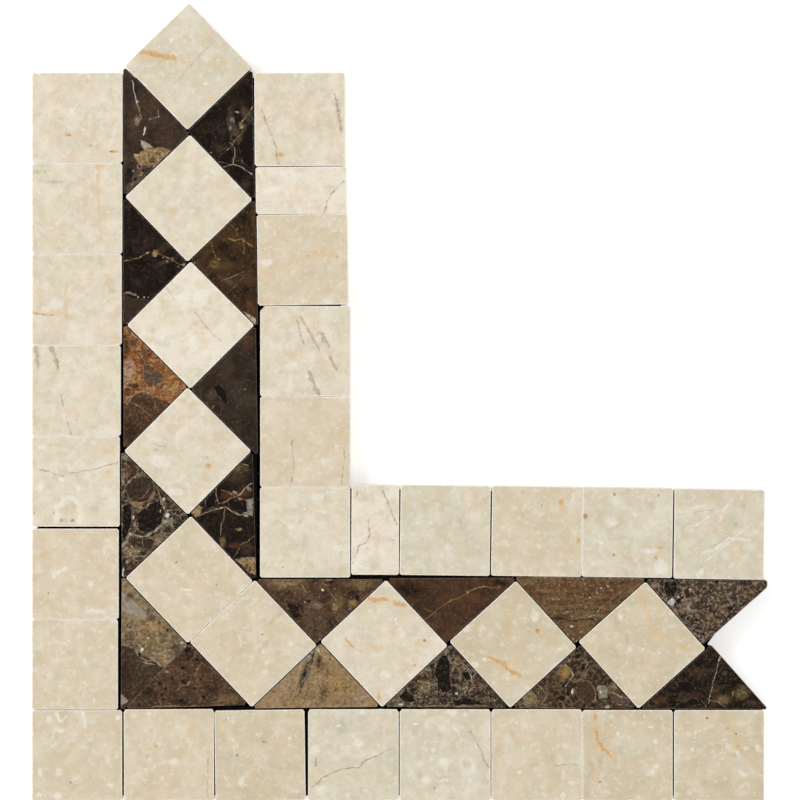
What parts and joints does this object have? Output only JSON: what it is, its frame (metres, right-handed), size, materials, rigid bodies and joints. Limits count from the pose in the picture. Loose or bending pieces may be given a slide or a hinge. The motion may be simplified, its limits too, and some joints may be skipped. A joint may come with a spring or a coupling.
{
  "type": "border corner tile",
  "caption": "L-shaped marble mosaic border corner on mesh: cream squares in two courses, and between them a band of bias squares with brown triangles, pointed at one end.",
  "frame": {"origin": "middle of the footprint's box, on the underside of the mesh", "axes": "+Z out of the polished face, +Y along the leg that ends in a point, +X along the leg that ends in a notch"},
  "size_m": [0.2806, 0.3044, 0.01],
  "materials": {
    "cream_marble": "polished",
    "brown_marble": "polished",
    "fibre_mesh": "matte"
  },
  "bodies": {
    "root": {"brown_triangle_corner_right": "brown_marble", "brown_triangle_corner_up": "brown_marble", "brown_triangle_inner_right_1": "brown_marble", "brown_triangle_inner_right_2": "brown_marble", "brown_triangle_inner_right_3": "brown_marble", "brown_triangle_inner_right_4": "brown_marble", "brown_triangle_inner_up_1": "brown_marble", "brown_triangle_inner_up_2": "brown_marble", "brown_triangle_inner_up_3": "brown_marble", "brown_triangle_inner_up_4": "brown_marble", "brown_triangle_outer_right_1": "brown_marble", "brown_triangle_outer_right_2": "brown_marble", "brown_triangle_outer_right_3": "brown_marble", "brown_triangle_outer_right_4": "brown_marble", "brown_triangle_outer_up_1": "brown_marble", "brown_triangle_outer_up_2": "brown_marble", "brown_triangle_outer_up_3": "brown_marble", "brown_triangle_outer_up_4": "brown_marble", "cream_bias_square_right_1": "cream_marble", "cream_bias_square_right_2": "cream_marble", "cream_bias_square_right_3": "cream_marble", "cream_bias_square_right_4": "cream_marble", "cream_bias_square_up_1": "cream_marble", "cream_bias_square_up_2": "cream_marble", "cream_bias_square_up_3": "cream_marble", "cream_bias_square_up_4": "cream_marble", "cream_bias_square_up_5": "cream_marble", "cream_closer_inner_right": "cream_marble", "cream_closer_inner_up": "cream_marble", "cream_square_inner_corner": "cream_marble", "cream_square_inner_right_2": "cream_marble", "cream_square_inner_right_3": "cream_marble", "cream_square_inner_right_4": "cream_marble", "cream_square_inner_right_5": "cream_marble", "cream_square_inner_up_1": "cream_marble", "cream_square_inner_up_2": "cream_marble", "cream_square_inner_up_3": "cream_marble", "cream_square_inner_up_5": "cream_marble", "cream_square_outer_corner": "cream_marble", "cream_square_outer_right_1": "cream_marble", "cream_square_outer_right_2": "cream_marble", "cream_square_outer_right_3": "cream_marble", "cream_square_outer_right_4": "cream_marble", "cream_square_outer_right_5": "cream_marble", "cream_square_outer_right_6": "cream_marble", "cream_square_outer_right_7": "cream_marble", "cream_square_outer_up_1": "cream_marble", "cream_square_outer_up_2": "cream_marble", "cream_square_outer_up_3": "cream_marble", "cream_square_outer_up_4": "cream_marble", "cream_square_outer_up_5": "cream_marble", "cream_square_outer_up_6": "cream_marble", "cream_square_outer_up_7": "cream_marble", "mesh_above_notch": "fibre_mesh", "mesh_below_notch": "fibre_mesh", "mesh_corner": "fibre_mesh", "mesh_point": "fibre_mesh", "mesh_right_leg": "fibre_mesh", "mesh_up_leg": "fibre_mesh"}
  },
  "joints": []
}
